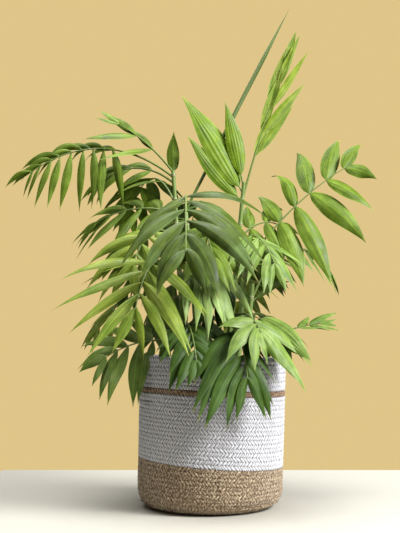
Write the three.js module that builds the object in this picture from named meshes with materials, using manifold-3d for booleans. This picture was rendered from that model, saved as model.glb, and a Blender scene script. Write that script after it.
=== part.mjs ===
// Potted chamaedorea palm in a basket of coiled rope, in millimetres, +Z up.
// The origin is the centre of the basket's flat underside, and the crown faces -Y.

import * as THREE from "three";
import { mergeVertices } from "three/addons/utils/BufferGeometryUtils.js";
import Module from "manifold-3d";

const wasm = await Module();
wasm.setup();

// Gap kept between pieces that touch
const GAP = 0.3;

// Basket: a drum of rope with a rounded foot, a little wider at the rim and leaning a little to +X
const BASKET = {
  footRadius: 97.5, rimRadius: 99.5, height: 200, wall: 7, floor: 8, footRound: 25, rimRound: 3, lean: 5,
};
const BASKET_INSIDE = BASKET.footRadius - BASKET.wall;
const BASKET_SIDES = 40;
const ARC_STEPS = 4;

// The rows of rope tilt, so each band's edge is higher on the -X side
const JUTE_EDGE = { height: 60, slope: -0.075 };
const STRIPE = { height: 153.8, width: 7.2, slope: -0.035 };

// Potting mix
const MIX_TOP = 165;

// Canes: foot on the mix, crown above it, radius at foot and crown
const CANE_SIDES = 7;
const CANES = {
  left: { foot: [-31, 8], crown: [-50, 0], top: 456, low: 4.2, high: 2.6 },
  middle: { foot: [-11, -8], crown: [-33, 0], top: 408, low: 4.2, high: 2.6 },
  centre: { foot: [23, 10], crown: [48, 0], top: 440, low: 4.2, high: 2.6 },
  right: { foot: [47, -2], crown: [59, 0], top: 299, low: 4, high: 3.2 },
  front: { foot: [-31, -30], crown: [-49, -34], top: 304, low: 4, high: 3 },
  low: { foot: [21, -36], crown: [29, -46], top: 262, low: 4, high: 3 },
  back: { foot: [-1, 36], crown: [3, 44], top: 392, low: 4.5, high: 3.2 },
  far: { foot: [39, 36], crown: [51, 48], top: 330, low: 4, high: 3 },
};

// Fronds. Lengths are in mm and angles in degrees. Azimuth 0 is +X and -90 faces the front.
// height: of the foot on its cane      rise: elevation of the stalk at its foot
// pull: how far its weight bends it    length: of the stalk     bare: share without leaflets
// leaf, width: of the largest leaflet  open, close: leaflets' angle to the stalk, foot and tip
// lift: leaflets raised above the stalk's plane    sag: how far they hang    roll: of the plane
// skew, uneven: how much wider and longer than the other hand's leaflets the first hand's are at the foot
const FROND_COLUMNS = [
  "name", "cane", "height", "azimuth", "rise", "pull", "length", "bare",
  "pairs", "leaf", "width", "open", "close", "lift", "sag", "roll", "skew", "uneven", "colour",
];
const FROND_ROWS = [
  ["pleated", "centre", 426, 190, 60, 0.05, 10, 1, 0, 150, 40, 0, 0, 0, 0.1, 76, 0, 0, "lime"],
  ["pleated_low", "centre", 412, 192, 55, 0.1, 12, 1, 0, 108, 27, 0, 0, 0, 0.12, 78, 0, 0, "lime"],
  ["pleated_right", "centre", 438, 184, 79, 0.05, 14, 1, 0, 106, 25, 0, 0, 0, 0.1, 84, 0, 0, "lime"],
  ["low_right_leaf", "low", 255, -22, 10, 0.7, 42, 1, 0, 88, 31, 0, 0, 0, 0.5, -66, 0, 0, "fresh"],
  ["left_shoot", "left", 444, 90, 82, 0.1, 14, 1, 0, 58, 18, 0, 0, 0, 0.1, -8, 0, 0, "lime"],
  ["main_front", "middle", 401, -89, 28, 2.0, 190, 0.36, 6, 125, 23, 76, 40, 5, 1.55, -11, 0, -0.2, "deep"],
  ["left_fan", "front", 296, -113, 52, 2.2, 150, 0.36, 6, 122, 17.5, 84, 24, -6, 0.6, 20, 0, 0, "mid"],
  ["right_arch", "centre", 308, 2, 56, 0.5, 220, 0.44, 5, 95, 27, 90, 32, 0, 1.0, -74, 28, 0.3, "olive"],
  ["far_left", "left", 447, 177, 39, 1.2, 217, 0.42, 9, 78, 12, 68, 30, 5, 1.8, 68, -44, -0.25, "olive"],
  ["upright", "centre", 422, 0, 75, 0.3, 194, 0.28, 5, 96, 15, 13, 1, 4, 0.15, 66, -8, -0.15, "mid"],
  ["low_front", "low", 226, -76, 34, 2.6, 112, 0.3, 6, 102, 17.5, 54, 36, -14, 1.5, 12, 0, 0.3, "dark"],
  ["low_right", "low", 246, -54, 40, 1.8, 74, 0.7, 4, 90, 22, 76, 14, 0, 0.8, 0, 24, -0.3, "fresh"],
  ["under_front", "middle", 326, -70, 24, 1.5, 86, 0.15, 5, 120, 19, 40, 18, -30, 1.9, -10, 4, 0, "pale"],
  ["low_left", "front", 218, 188, 14, 0.9, 104, 0.2, 6, 84, 19, 92, 26, -10, 0.85, 52, 0, 0, "fresh"],
  ["upper_left", "left", 455, 172, 52, 0.45, 104, 0.4, 3, 74, 14, 32, 12, -4, 0.45, 50, -18, -0.3, "olive"],
  ["back_left", "left", 396, 172, 20, 0.9, 118, 0.2, 5, 92, 19, 62, 20, -4, 0.95, 38, 0, 0, "olive"],
  ["side_left", "left", 356, -128, 42, 2.2, 118, 0.45, 5, 100, 18, 84, 30, 0, 0.95, 18, 0, 0, "mid"],
  ["right_back", "right", 278, 25, 66, 1.5, 180, 0.55, 5, 54, 14, 60, 25, -8, 1, -40, 0, 0, "fresh"],
  ["right_small", "right", 215, 3, 24, 0.25, 104, 0.7, 3, 52, 14, 38, 20, 0, 0.3, -30, -12, 0, "fresh"],
  ["inner_front", "middle", 360, -70, 35, 1.9, 118, 0.2, 6, 92, 19, 70, 28, -10, 1, 0, 0, 0, "olive"],
  ["inner_centre", "centre", 352, -62, 34, 1.9, 112, 0.2, 6, 80, 15, 70, 28, -10, 1, 0, 0, 0, "fresh"],
  ["inner_right", "right", 272, -140, 50, 1.9, 90, 0.3, 5, 62, 16, 65, 28, -8, 0.9, 0, 0, 0, "dark"],
  ["inner_low", "front", 232, -75, 40, 2.2, 112, 0.35, 6, 78, 16, 60, 25, -10, 1, 0, 0, 0, "dark"],
  ["inner_left", "middle", 318, -150, 34, 1.8, 112, 0.3, 4, 84, 17, 60, 25, -8, 1, 0, 0, 0, "dark"],
  ["rear_top", "back", 388, 100, 45, 1.4, 210, 0.25, 6, 92, 19, 65, 28, -10, 1, 0, 0, 0, "dark"],
  ["rear_left", "back", 372, 142, 38, 1.5, 204, 0.25, 6, 92, 19, 65, 28, -10, 1, 0, 0, 0, "olive"],
  ["rear_right", "back", 346, 66, 35, 1.5, 170, 0.25, 5, 92, 19, 65, 28, -10, 1, 0, 0, 0, "dark"],
  ["rear_far_right", "far", 326, 70, 48, 1.5, 140, 0.25, 5, 86, 19, 65, 28, -10, 1, 0, 0, 0, "deep"],
  ["rear_low", "far", 300, 90, 32, 1.7, 170, 0.25, 5, 78, 19, 65, 28, -10, 1.2, 0, 0, 0, "mid"],
  ["rear_low_left", "back", 300, 122, 26, 1.7, 186, 0.25, 5, 84, 19, 65, 28, -10, 1.2, 0, 0, 0, "deep"],
  ["rear_centre", "centre", 360, 10, 54, 1.2, 72, 0.3, 3, 62, 22, 80, 50, 0, 1.0, -66, 20, 0.2, "olive"],
  ["rear_high_left", "left", 410, 118, 52, 1.5, 180, 0.3, 6, 88, 19, 60, 26, -8, 0.9, 0, 0, 0, "olive"],
  ["rear_foot", "back", 238, 98, 42, 1.9, 150, 0.3, 4, 80, 19, 62, 26, -10, 1.1, 0, 0, 0, "dark"],
  ["rear_foot_right", "far", 242, 55, 40, 1.7, 135, 0.3, 4, 80, 19, 62, 26, -10, 1.1, 0, 0, 0, "deep"],
  ["rear_foot_left", "left", 262, 152, 40, 1.6, 160, 0.35, 4, 80, 19, 62, 26, -10, 1.1, 0, 0, 0, "mid"],
  ["centre_leaf", "right", 272, 24, 58, 0.4, 10, 1, 0, 62, 15, 0, 0, 0, 0.6, 50, 0, 0, "deep"],
  ["mid_left", "left", 439, 172, 40, 1.3, 118, 0.3, 4, 64, 14, 30, 12, 6, 1.3, 56, 0, 0, "olive"],
  ["side_right", "far", 314, 38, 60, 1.6, 70, 0.3, 4, 52, 17, 62, 26, -8, 1.0, 0, 0, 0, "olive"],
  ["side_low_left", "left", 318, 160, 44, 1.9, 96, 0.3, 4, 68, 17, 62, 26, -8, 1.0, 0, 0, 0, "deep"],
];

// The unopened frond, a rolled rod that stands up from its cane
const SPEAR = { cane: "middle", height: 402, azimuth: 8, rise: 63.5, pull: 0.03, length: 325 };
const SPEAR_RADIUS = 2.9;
const SPEAR_FOOT_SHARE = 0.6;
const SPEAR_TIP_LENGTH = 0.25;
const SPEAR_SIDES = 5;

const STALK_STEPS = 7;
const STALK_SIDES = 3;
const STALK_RADIUS = { foot: 2.4, tip: 1.4 };

const LEAF_STEPS = 3;
const LEAF_SIDES = 3;
const LEAF_THICK = 1.7;
const LEAF_ROOT_WIDTH = 1.8;
const LEAF_CLEAR = 0.5;

// The leaflet's outline: below 1 the skew moves its widest place towards the root
const LEAF_SKEW = 0.76;
const LEAF_FULLNESS = 0.95;
const LEAF_ROOT_THICK = 0.45;
const LEAF_REST_CLEAR = 2 * LEAF_THICK;

// The pairs along a stalk: where the last one sits, where the longest is, how the others shorten
const LAST_PAIR_PLACE = 0.97;
const LONGEST_PAIR = 0.35;
const SHORTENING = 1.1;
const SKEW_TURN = 1.33;
const STALK_END = 0.985;

// How much leaflets differ: angles in degrees, the rest as shares. Each frond has its own run of seeds.
const SPREAD = { open: 8, lift: 8, place: 0.018, length: 0.1, width: 0.12, sag: 0.35 };
const SEEDS_A_FROND = 100;

// Small turns, in degrees round the frond's plane and out of it, that a blocked leaflet tries
const LEAF_TURNS = [
  [0, 0], [0, 9], [0, -9], [9, 0], [-9, 0], [9, 12], [-9, 12], [0, 20], [16, -12], [-16, -12],
];

// Plain colours and roughness, the leaves' colours by tone
const LEAF_COLOURS = {
  dark: 0x4a6a2c, deep: 0x5a7d3a, olive: 0x6d8a38, mid: 0x8fa83c, fresh: 0x87a648, lime: 0x6d8f22,
  pale: 0x95af59,
};
const COLOURS = { cotton: 0xd4d4d6, jute: 0x9c7d59, mix: 0x3b2a1c, cane: 0x7d9440, spear: 0x647d3c };
const ROUGHNESS = { rope: 0.9, mix: 1, cane: 0.6, leaf: 0.55 };

const UP = new THREE.Vector3(0, 0, 1);
const MERGE_DISTANCE = 1e-3;
const WAVE_STEP = 12.9898;
const WAVE_SCALE = 43758.5453;

function radians(degrees) {
  return THREE.MathUtils.degToRad(degrees);
}

function heading(azimuth, elevation) {
  const flat = Math.cos(radians(elevation));
  const turn = radians(azimuth);
  return new THREE.Vector3(Math.cos(turn) * flat, Math.sin(turn) * flat, Math.sin(radians(elevation)));
}

// A repeatable number from -1 to 1 for each seed
function vary(seed) {
  const wave = Math.sin(seed * WAVE_STEP) * WAVE_SCALE;
  return 2 * (wave - Math.floor(wave)) - 1;
}

// One such number for each way in which the leaflet of this seed differs
function variations(seed) {
  const ways = Object.keys(SPREAD);
  return Object.fromEntries(ways.map((name, k) => [name, SPREAD[name] * vary(seed + (k + 1) / 10)]));
}

// A line that starts in one direction and is bent down ever more by its weight
function grow(start, direction, pull, length, steps, settle = (point) => point) {
  const points = [start.clone()];
  for (let k = 0; k < steps; k += 1) {
    const way = direction.clone().addScaledVector(UP, (-pull * (k + 0.5)) / steps).normalize();
    points.push(settle(points[k].clone().addScaledVector(way, length / steps)));
  }
  return points;
}

function pointAt(points, share) {
  const place = Math.min(share, 1) * (points.length - 1);
  const k = Math.min(Math.floor(place), points.length - 2);
  return points[k].clone().lerp(points[k + 1], place - k);
}

function wayAt(points, share) {
  const step = 0.5 / (points.length - 1);
  return pointAt(points, share + step).sub(pointAt(points, Math.max(share - step, 0))).normalize();
}

// The directions beside and above a line, rolled about it
function sideAndUp(way, roll) {
  const side = way.clone().cross(UP).normalize();
  const up = side.clone().cross(way);
  const turn = radians(roll);
  return [
    side.clone().multiplyScalar(Math.cos(turn)).addScaledVector(up, Math.sin(turn)),
    up.clone().multiplyScalar(Math.cos(turn)).addScaledVector(side, -Math.sin(turn)),
  ];
}

// A closed body along a line of points. section gives its half width and half thickness there.
function sweep(points, side, sides, section, pointed) {
  const steps = points.length - 1;
  const geometry = new THREE.CylinderGeometry(pointed ? 0 : 1, 1, 1, sides, steps);
  const place = geometry.attributes.position;
  for (let k = 0; k < place.count; k += 1) {
    const share = place.getY(k) + 0.5;
    const corner = new THREE.Vector2(place.getX(k), place.getZ(k)).normalize();
    const [half, thick] = section(share);
    const way = wayAt(points, share);
    const across = side.clone().addScaledVector(way, -side.dot(way)).normalize();
    const over = across.clone().cross(way);
    const spot = pointAt(points, share);
    spot.addScaledVector(across, corner.x * half).addScaledVector(over, corner.y * thick);
    place.setXYZ(k, spot.x, spot.y, spot.z);
  }
  return geometry;
}

function solidOf(geometry) {
  const bare = geometry.clone();
  bare.deleteAttribute("normal");
  bare.deleteAttribute("uv");
  const merged = mergeVertices(bare, MERGE_DISTANCE);
  const vertProperties = new Float32Array(merged.attributes.position.array);
  const triVerts = new Uint32Array(merged.index.array);
  return new wasm.Manifold(new wasm.Mesh({ numProp: 3, vertProperties, triVerts }));
}

function geometryOf(solid) {
  const mesh = solid.getMesh();
  const geometry = new THREE.BufferGeometry();
  geometry.setAttribute("position", new THREE.BufferAttribute(mesh.vertProperties, 3));
  geometry.setIndex(new THREE.BufferAttribute(mesh.triVerts, 1));
  geometry.computeVertexNormals();
  return geometry;
}

function largestPart(solid) {
  return solid.decompose().sort((a, b) => b.volume() - a.volume())[0];
}

function named(name, geometry, color, roughness) {
  const material = new THREE.MeshStandardMaterial({ color, roughness, metalness: 0 });
  const mesh = new THREE.Mesh(geometry, material);
  mesh.name = name;
  return mesh;
}

// Basket

function leanAt(height) {
  return (BASKET.lean * height) / BASKET.height;
}

function leaning(geometry) {
  const place = geometry.attributes.position;
  for (let k = 0; k < place.count; k += 1) {
    place.setX(k, place.getX(k) + leanAt(place.getZ(k)));
  }
  return geometry;
}

function turned(profile) {
  const points = profile.map(([x, y]) => new THREE.Vector2(x, y));
  return leaning(new THREE.LatheGeometry(points, BASKET_SIDES).rotateX(Math.PI / 2));
}

function arc(x, y, radius, from, to) {
  return Array.from({ length: ARC_STEPS + 1 }, (_, k) => {
    const angle = radians(from + ((to - from) * k) / ARC_STEPS);
    return [x + radius * Math.cos(angle), y + radius * Math.sin(angle)];
  });
}

function basketRadius(height) {
  return THREE.MathUtils.lerp(BASKET.footRadius, BASKET.rimRadius, height / BASKET.height);
}

function basketWall() {
  const { height, floor, footRound, rimRound } = BASKET;
  return turned([
    [0, 0],
    ...arc(basketRadius(footRound) - footRound, footRound, footRound, -90, 0),
    ...arc(basketRadius(height) - rimRound, height - rimRound, rimRound, 0, 90),
    [BASKET_INSIDE, height],
    [BASKET_INSIDE, floor],
    [0, floor],
  ]);
}

// A thin tilted sheet that parts two bands of the basket
function bandEdge(height, slope) {
  const wide = 3 * BASKET.rimRadius;
  const sheet = new THREE.BoxGeometry(wide, wide, GAP);
  sheet.rotateY(-Math.atan(slope));
  sheet.translate(0, 0, height);
  return solidOf(sheet);
}

function basketBands() {
  const edges = [
    bandEdge(JUTE_EDGE.height, JUTE_EDGE.slope),
    bandEdge(STRIPE.height - STRIPE.width / 2, STRIPE.slope),
    bandEdge(STRIPE.height + STRIPE.width / 2, STRIPE.slope),
  ];
  const cut = edges.reduce((wall, edge) => wall.subtract(edge), solidOf(basketWall()));
  return cut.decompose().sort((a, b) => a.boundingBox().min[2] - b.boundingBox().min[2]);
}

function basket() {
  const names = ["basket_jute_base", "basket_white_wall", "basket_jute_stripe", "basket_white_rim"];
  const colours = [COLOURS.jute, COLOURS.cotton, COLOURS.jute, COLOURS.cotton];
  return basketBands().map((band, k) => named(names[k], geometryOf(band), colours[k], ROUGHNESS.rope));
}

function pottingMix() {
  const reach = BASKET_INSIDE - GAP;
  const low = BASKET.floor + GAP;
  const plug = turned([[0, low], [reach, low], [reach, MIX_TOP], [0, MIX_TOP]]);
  return named("potting_mix", plug, COLOURS.mix, ROUGHNESS.mix);
}

// Keeps a leaflet's point off the basket's wall and the mix
function besideBasket(point) {
  const reach = Math.hypot(point.x - leanAt(point.z), point.y);
  const inside = BASKET_INSIDE - LEAF_REST_CLEAR;
  const outside = BASKET.rimRadius + LEAF_REST_CLEAR;
  if (point.z > BASKET.height + LEAF_REST_CLEAR || reach > outside) {
    return point;
  }
  if (reach < inside) {
    return point.setZ(Math.max(point.z, MIX_TOP + LEAF_REST_CLEAR));
  }
  const out = outside / reach;
  return point.set((point.x - leanAt(point.z)) * out + leanAt(point.z), point.y * out, point.z);
}

// Canes

function onCane(cane, height) {
  const share = (height - MIX_TOP) / (cane.top - MIX_TOP);
  const foot = new THREE.Vector3(...cane.foot, MIX_TOP);
  const crown = new THREE.Vector3(...cane.crown, cane.top);
  return foot.lerp(crown, share);
}

function caneRadius(cane, height) {
  return cane.low + ((cane.high - cane.low) * (height - MIX_TOP)) / (cane.top - MIX_TOP);
}

function caneGeometry(cane, margin) {
  const low = MIX_TOP + GAP - margin;
  const high = cane.top + margin;
  const corner = 1 / Math.cos(Math.PI / CANE_SIDES);
  const swell = margin > 0 ? corner : 1;
  const geometry = new THREE.CylinderGeometry(1, 1, 1, CANE_SIDES, 1);
  const place = geometry.attributes.position;
  for (let k = 0; k < place.count; k += 1) {
    const height = place.getY(k) > 0 ? high : low;
    const radius = (caneRadius(cane, height) + margin) * swell;
    const centre = onCane(cane, height);
    place.setXYZ(k, centre.x + place.getZ(k) * radius, centre.y + place.getX(k) * radius, height);
  }
  return geometry;
}

// Fronds

function frondStalk(frond) {
  const cane = CANES[frond.cane];
  const out = heading(frond.azimuth, 0);
  const foot = onCane(cane, frond.height).addScaledVector(out, caneRadius(cane, frond.height) / 2);
  const points = grow(foot, heading(frond.azimuth, frond.rise), frond.pull, frond.length, STALK_STEPS);
  return { points, side: heading(frond.azimuth - 90, 0) };
}

function stalkSection(share) {
  const radius = THREE.MathUtils.lerp(STALK_RADIUS.foot, STALK_RADIUS.tip, share);
  return [radius, radius];
}

function spearSection(share) {
  const tip = (1 - share) / SPEAR_TIP_LENGTH;
  const radius = SPEAR_RADIUS * Math.min(1, SPEAR_FOOT_SHARE + share, tip);
  return [radius, radius];
}

// A leaflet's section, widest before the middle of its length, then with a long taper.
// The section is a flat triangle with its ridge on top.
function leafSection(width, margin) {
  const corner = Math.PI / LEAF_SIDES;
  return (share) => {
    const swell = Math.max(Math.sin(Math.PI * share ** LEAF_SKEW), 0) ** LEAF_FULLNESS;
    const half = Math.max(width * swell, LEAF_ROOT_WIDTH * (1 - share)) / 2;
    const thick = LEAF_THICK * Math.min(LEAF_ROOT_THICK + 2 * share, 1);
    return [half / Math.sin(corner) + margin, thick / (1 + Math.cos(corner)) + margin];
  };
}

function leafSolid(leaf, margin) {
  const { root, way, sag, length, width, side } = leaf;
  const points = grow(root, way, sag, length, LEAF_STEPS, besideBasket);
  return solidOf(sweep(points, side, LEAF_SIDES, leafSection(width, margin), true));
}

// The leaflet on one side of a pair, turned a little where its place is taken
function leaflet(frond, stalk, seed, pair, hand, turn) {
  const last = frond.pairs - 1;
  const along = pair / last;
  const own = variations(seed);
  const share = Math.min(frond.bare + (1 - frond.bare) * (along * LAST_PAIR_PLACE + own.place), STALK_END);
  const ahead = wayAt(stalk.points, share);
  const [side, up] = sideAndUp(ahead, frond.roll);
  const opened = THREE.MathUtils.lerp(frond.open, frond.close, along) + own.open + turn[0];
  const open = radians(opened + frond.skew * hand * (1 - SKEW_TURN * along));
  const lift = radians(frond.lift + own.lift + turn[1]);
  const beside = side.clone().multiplyScalar(Math.cos(lift) * hand).addScaledVector(up, Math.sin(lift));
  const way = ahead.clone().multiplyScalar(Math.cos(open)).addScaledVector(beside, Math.sin(open));
  const size = (1 - SHORTENING * (along - LONGEST_PAIR) ** 2) * (1 + frond.uneven * hand * (1 - along));
  return {
    root: pointAt(stalk.points, share),
    way,
    sag: frond.sag * (1 + own.sag),
    length: frond.leaf * size * (1 + own.length),
    width: frond.width * Math.sqrt(size) * (1 + own.width),
    side: way.clone().cross(up).normalize(),
  };
}

// The single broad leaf of a young frond
function endLeaf(frond, stalk) {
  const way = wayAt(stalk.points, 1);
  const [side] = sideAndUp(way, frond.roll);
  const root = pointAt(stalk.points, 1).addScaledVector(way, -LEAF_ROOT_WIDTH);
  return { root, way, sag: frond.sag, length: frond.leaf, width: frond.width, side };
}

function boxesMeet(a, b) {
  return [0, 1, 2].every((k) => a.min[k] <= b.max[k] && b.min[k] <= a.max[k]);
}

function isFree(solid, others) {
  const box = solid.boundingBox();
  return others.every((other) => !boxesMeet(box, other.box) || solid.intersect(other.solid).isEmpty());
}

function placed(name, solid) {
  return { name, solid, box: solid.boundingBox() };
}

function frondLeaves(frond, stalk, seed, others) {
  if (frond.pairs === 0) {
    return [leafSolid(endLeaf(frond, stalk), 0)];
  }
  const leaves = [];
  for (let pair = 0; pair < frond.pairs; pair += 1) {
    for (const hand of [1, -1]) {
      const leafSeed = seed * SEEDS_A_FROND + pair * 2 + (hand > 0 ? 1 : 0);
      const ways = LEAF_TURNS.map((turn) => leaflet(frond, stalk, leafSeed, pair, hand, turn));
      const free = ways.find((leaf) => isFree(leafSolid(leaf, LEAF_CLEAR), others));
      if (free) {
        leaves.push(leafSolid(free, 0));
      }
    }
  }
  return leaves;
}

function palm() {
  const fronds = FROND_ROWS.map((row) => Object.fromEntries(row.map((v, k) => [FROND_COLUMNS[k], v])));
  const stalks = fronds.map(frondStalk);
  const caneCuts = Object.fromEntries(
    Object.entries(CANES).map(([name, cane]) => [name, solidOf(caneGeometry(cane, GAP))]),
  );
  const stalkSolids = fronds.map((frond, k) => {
    const rod = sweep(stalks[k].points, stalks[k].side, STALK_SIDES, stalkSection, false);
    return largestPart(solidOf(rod).subtract(caneCuts[frond.cane]));
  });
  const spearLine = frondStalk(SPEAR);
  const spearRod = solidOf(sweep(spearLine.points, spearLine.side, SPEAR_SIDES, spearSection, true));
  const spear = largestPart(spearRod.subtract(caneCuts[SPEAR.cane]));

  const taken = [
    placed("basket", solidOf(basketWall())),
    placed("spear", spear),
    ...Object.keys(CANES).map((name) => placed(name, caneCuts[name])),
    ...fronds.map((frond, k) => placed(frond.name, stalkSolids[k])),
  ];
  const meshes = Object.entries(CANES).map(([name, cane]) =>
    named(`cane_${name}`, caneGeometry(cane, 0), COLOURS.cane, ROUGHNESS.cane),
  );
  meshes.push(named("spear_middle", geometryOf(spear), COLOURS.spear, ROUGHNESS.leaf));
  fronds.forEach((frond, k) => {
    const others = taken.filter((piece) => piece.name !== frond.name);
    const leaves = frondLeaves(frond, stalks[k], k, others);
    taken.push(...leaves.map((leaf) => placed(frond.name, leaf)));
    const whole = largestPart(leaves.reduce((sum, leaf) => sum.add(leaf), stalkSolids[k]));
    const colour = LEAF_COLOURS[frond.colour];
    meshes.push(named(`frond_${frond.name}`, geometryOf(whole), colour, ROUGHNESS.leaf));
  });
  return meshes;
}

const plant = new THREE.Group();
plant.add(...basket(), pottingMix(), ...palm());

export default plant;
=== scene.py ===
"""Potted chamaedorea palm in a basket of coiled rope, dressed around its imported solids.

The fronds, canes and spear grow by the same rule and from the same rows as the solids, with finer
leaflets. Shapes are made in millimetres and degrees and come to metres when they are built.
The camera, the floor and the lamps are in metres. Colours are linear.
"""

import math

import bpy
import numpy as np
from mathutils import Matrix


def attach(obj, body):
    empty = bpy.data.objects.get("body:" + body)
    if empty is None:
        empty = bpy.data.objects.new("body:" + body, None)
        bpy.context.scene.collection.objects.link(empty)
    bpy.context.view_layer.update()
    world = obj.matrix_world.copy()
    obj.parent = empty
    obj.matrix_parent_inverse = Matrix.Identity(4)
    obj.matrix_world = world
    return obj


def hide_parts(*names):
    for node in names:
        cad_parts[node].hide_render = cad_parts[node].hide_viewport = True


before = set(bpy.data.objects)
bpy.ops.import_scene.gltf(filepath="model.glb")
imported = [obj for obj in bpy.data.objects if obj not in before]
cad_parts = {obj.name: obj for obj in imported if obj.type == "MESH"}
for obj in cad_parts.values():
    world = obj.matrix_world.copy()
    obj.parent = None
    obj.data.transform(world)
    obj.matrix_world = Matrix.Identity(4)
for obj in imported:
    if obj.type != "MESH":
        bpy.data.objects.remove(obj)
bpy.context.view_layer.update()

MM = 0.001
UP = np.array([0.0, 0.0, 1.0])
UV_NAME = "place"
SHARP_ANGLE = 62

# Numbers that make a repeatable chance from a seed, or from a row and a strand
HASH_SEED = 12.9898
HASH_STRAND = 78.233
HASH_SWELL = 43758.5453

# Camera: its eye is in front of the plant, a little left of the basket's axis
EYE = (-0.0127, -1.300, 0.220)
PITCH = 4.5
LENS = 64.17

# Stage: a square floor whose edge lies behind the basket, and an even backdrop
FLOOR_REACH = 0.351
FLOOR_THICK = 0.02
FLOOR_COLOUR = (0.53, 0.51, 0.44)
FLOOR_ROUGHNESS = 0.6
BACKDROP_COLOUR = (0.74, 0.56, 0.25)

# Light: the room's own, and each lamp's place, size, power and colour
ROOM_LIGHT = (0.07, 0.066, 0.062)
LAMP_AIM = (0, 0, 0.3)
LAMPS = {
    "key": ((1.6, -0.85, 1.4), 1.0, 94, (0.97, 0.98, 1.0)),
    "fill": ((-0.9, -1.6, 1.7), 1.4, 3, (1.0, 0.97, 0.92)),
    "top": ((-0.3, -0.1, 2.2), 1.5, 62, (1.0, 1.0, 1.0)),
}

# Basket: its form, the heights where its bands meet, its rim, and how its rows slope
BASKET = {
    "foot_radius": 97.5,
    "rim_radius": 99.5,
    "height": 200,
    "wall": 7,
    "floor": 8,
    "foot_round": 25,
    "lean": 5,
}
BAND_EDGES = {"jute": 60, "stripe_low": 150.2, "stripe_high": 157.4}
BAND_GAP = 0.15
RIM_EDGE = 3
RIM_DROP = 0.6
RIM_INSET = 1
AXIS_HOLE = 0.5
ROW_TILT = {"height": (0, 60, 154, 200), "slope": (0, -0.075, -0.035, -0.02)}

# Rope rows: their pitch and relief, and the points round the basket and up each row
ROPE_PITCH = 5.3
ROPE_DEPTH = 0.65
ROPE_ROUNDNESS = 0.97
ROPE_AROUND = 780
ROPE_STEPS = 6
UNDER_STEPS = 2
HIDDEN_STEPS = 1

# Strands of the rope: how they slant, wander from row to row, part and stand out by chance
STRANDS = 156
STRAND_SLANT = 0.5
STRAND_WANDER = 0.45
STRAND_WAVES = 17
ROW_PHASE = 2.3
STRAND_DEPTH = 1.2
STRAND_SPREAD = 0.7
PARTING = {"from": 0.3, "power": 1.4, "on_crest": 0.6}

# Rope surface, and for each rope the colour of its yarn, its shaded yarn and the painted shade in its
# partings
ROPE_LOOK = {
    "yarns": 4,
    "yarn_share": 0.25,
    "fibre_noise": (900, 3),
    "fibre_share": 0.3,
    "fibre_height": 1.2,
    "patch_noise": (420, 4),
    "patch_range": (0.4, 0.6),
    # Painted shade where the strands part and, a little, where the rows meet
    "parting_power": 2.2,
    "parting_share": 0.75,
    "groove_power": 3.0,
    "groove_share": 0.1,
    "roughness": 0.9,
    "sheen": 0.2,
    "bump": (0.6, 0.0005),
}
ROPE_COLOURS = {
    "white_rope": ((0.9, 0.9, 0.94), (0.68, 0.67, 0.7), (0.1, 0.09, 0.095)),
    "jute_rope": ((0.84, 0.66, 0.44), (0.2, 0.12, 0.055), (0.03, 0.018, 0.01)),
    "stripe_rope": ((0.66, 0.45, 0.27), (0.17, 0.085, 0.04), (0.03, 0.015, 0.01)),
}

# Potting mix: its top, its clearance, its points, the waves on it, and its crumbs
MIX_TOP = 165
MIX_GAP = 0.5
MIX_SINK = 1.5
MIX_RINGS = 40
MIX_AROUND = 120
MIX_SWELL = {"height": 1.2, "x": 0.31, "y": 0.27, "phase": 1}
MIX_LUMP = {"height": 0.8, "x": 0.9, "y": 0.7}
MIX_PLACE_STEP = 0.1
MIX_LOOK = {
    "crumb_noise": (320, 4),
    "light": (0.1, 0.065, 0.04),
    "dark": (0.025, 0.015, 0.01),
    "roughness": 0.95,
    "bump": (0.8, 0.002),
}

# Canes: foot on the mix, crown above it, height of the crown, radius at foot and crown
CANES = {
    "left": {"foot": (-31, 8), "crown": (-50, 0), "top": 456, "low": 4.2, "high": 2.6},
    "middle": {"foot": (-11, -8), "crown": (-33, 0), "top": 408, "low": 4.2, "high": 2.6},
    "centre": {"foot": (23, 10), "crown": (48, 0), "top": 440, "low": 4.2, "high": 2.6},
    "right": {"foot": (47, -2), "crown": (59, 0), "top": 299, "low": 4, "high": 3.2},
    "front": {"foot": (-31, -30), "crown": (-49, -34), "top": 304, "low": 4, "high": 3},
    "low": {"foot": (21, -36), "crown": (29, -46), "top": 262, "low": 4, "high": 3},
    "back": {"foot": (-1, 36), "crown": (3, 44), "top": 392, "low": 4.5, "high": 3.2},
    "far": {"foot": (39, 36), "crown": (51, 48), "top": 330, "low": 4, "high": 3},
}
CANE_SIDES = 16
CANE_STEP = 2.0
CANE_SINK = 4
CANE_JOINT = 34.0
JOINT_SWELL = 0.55
JOINT_WIDTH = 0.05
CANE_LOOK = {
    "streaks": (22, 0.08),
    "streak_detail": 4,
    "shaded": (0.1, 0.17, 0.035),
    "light": (0.26, 0.36, 0.08),
    "scar_width": 0.05,
    "scar_share": 0.65,
    "scar_colour": (0.5, 0.5, 0.28),
    "line_width": 0.014,
    "line_share": 0.8,
    "line_colour": (0.16, 0.11, 0.05),
    "roughness": 0.5,
    "bump": (0.4, 0.0006),
}

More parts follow.
